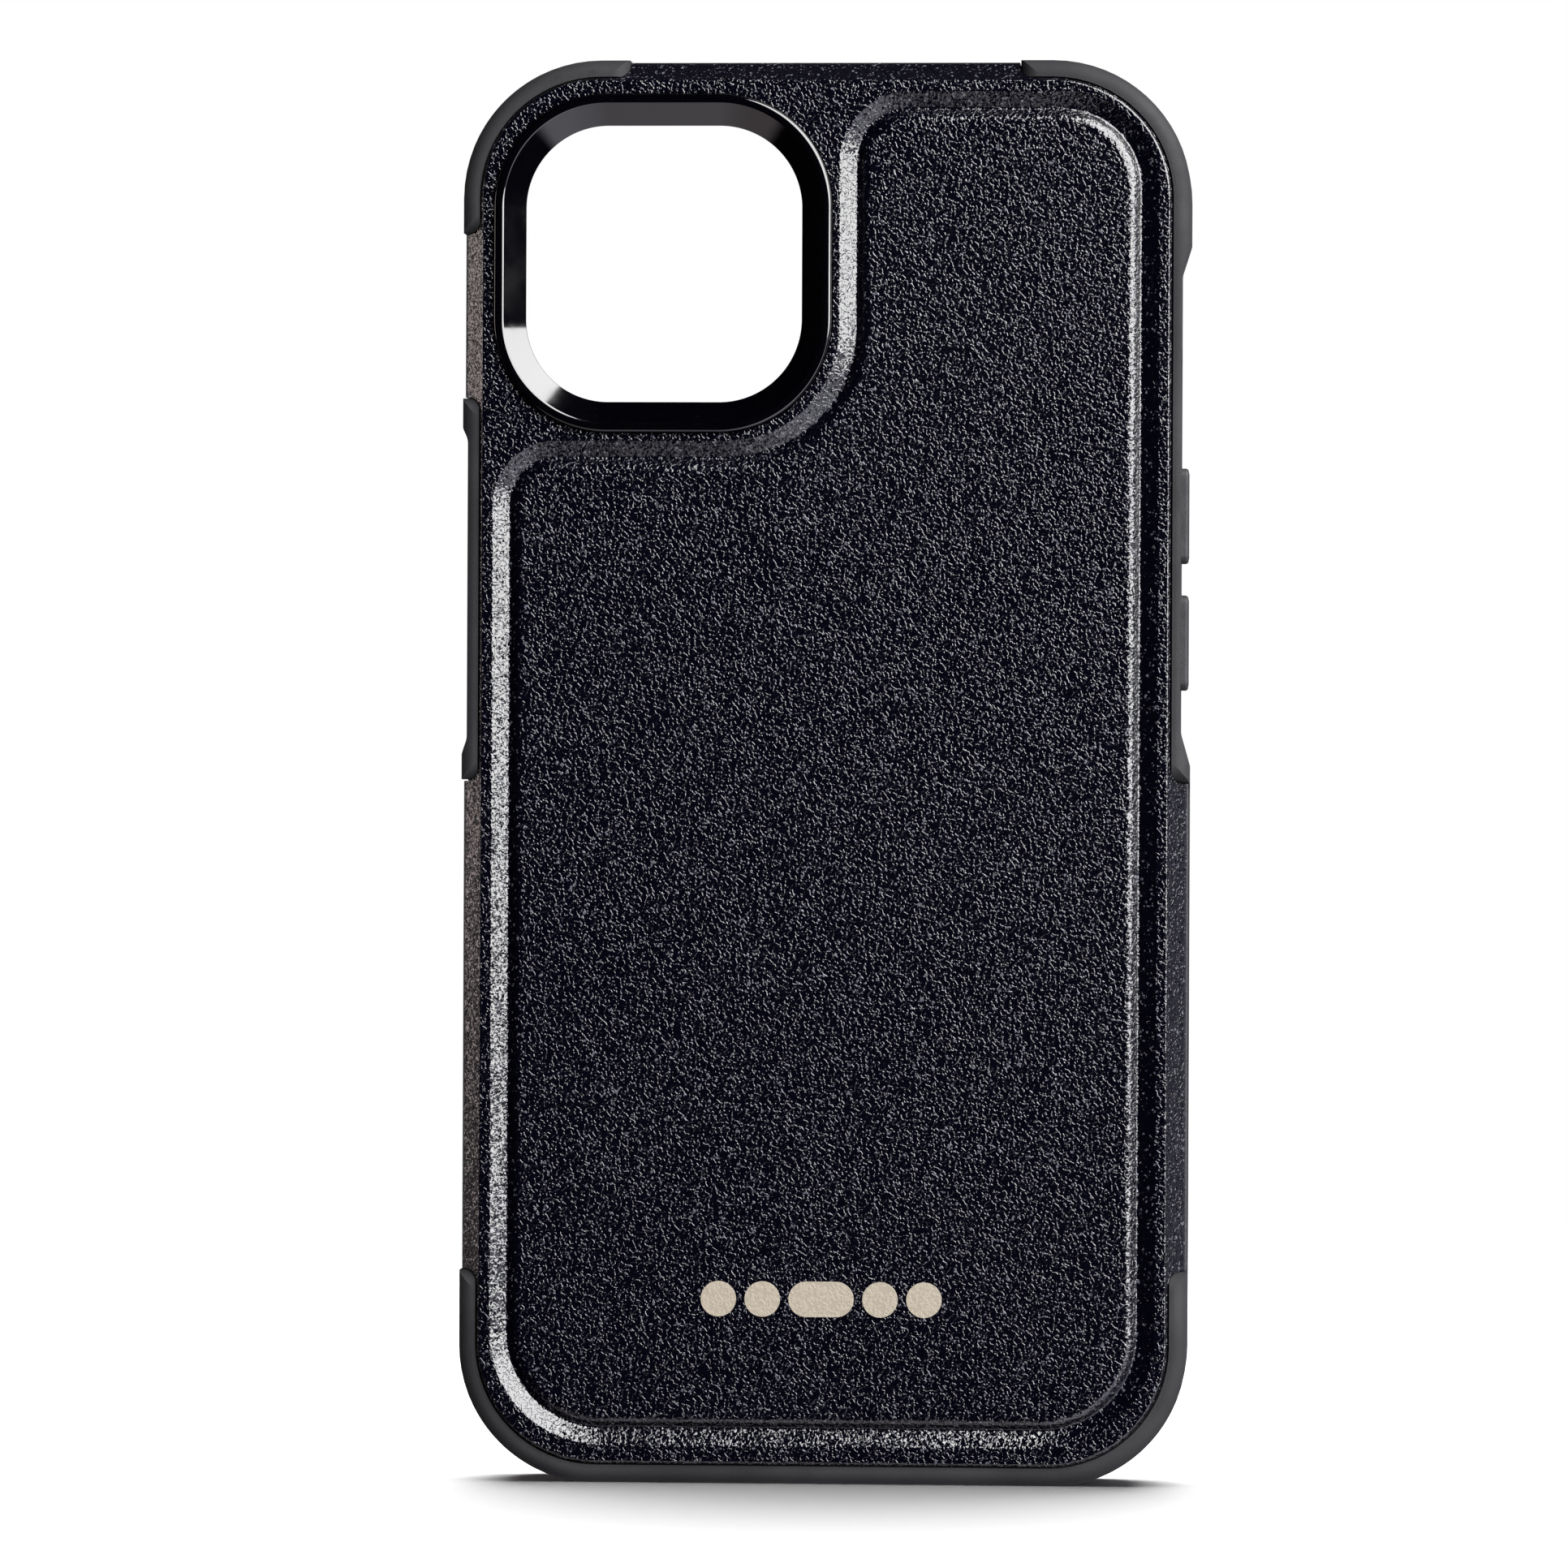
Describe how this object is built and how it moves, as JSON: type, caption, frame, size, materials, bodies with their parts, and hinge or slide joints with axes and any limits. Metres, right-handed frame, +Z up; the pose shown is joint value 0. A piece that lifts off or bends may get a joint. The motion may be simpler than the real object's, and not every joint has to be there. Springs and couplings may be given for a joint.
{
  "type": "phone case",
  "caption": "Two-layer protective phone case: soft sleeve with corner pads, hard grained rear shell with an embossed panel, gloss camera bezel and side buttons.",
  "frame": {"origin": "centre of the bottom edge that the case stands on", "axes": "+Z up along the case's length, +X to the right seen from the back, +Y from the back towards the open screen side"},
  "size_m": [0.078, 0.0126, 0.1523],
  "materials": {
    "soft_sleeve": "fine matte soft-touch TPU",
    "hard_shell": "leather-grained, slightly sparkling",
    "gloss_bezel": "polished gloss",
    "button": "fine satin",
    "printed_ink": "thin champagne ink"
  },
  "bodies": {
    "sleeve": {"soft_sleeve": "soft_sleeve"},
    "outer_shell": {"rear_shell": "hard_shell", "camera_bezel": "gloss_bezel", "printed_mark": "printed_ink"},
    "volume_up": {"volume_up_button": "button"},
    "volume_down": {"volume_down_button": "button"},
    "power": {"power_button": "button"}
  },
  "joints": [
    {"name": "shell_pull_off", "type": "slide", "parent": "sleeve", "child": "outer_shell", "axis": [0, -1, 0], "range_m": [0, 0.015]},
    {"name": "volume_up_press", "type": "slide", "parent": "sleeve", "child": "volume_up", "axis": [-1, 0, 0], "range_m": [0, 0.0004], "stiffness_N_per_m": 500},
    {"name": "volume_down_press", "type": "slide", "parent": "sleeve", "child": "volume_down", "axis": [-1, 0, 0], "range_m": [0, 0.0004], "stiffness_N_per_m": 500},
    {"name": "power_press", "type": "slide", "parent": "sleeve", "child": "power", "axis": [1, 0, 0], "range_m": [0, 0.0004], "stiffness_N_per_m": 500}
  ]
}
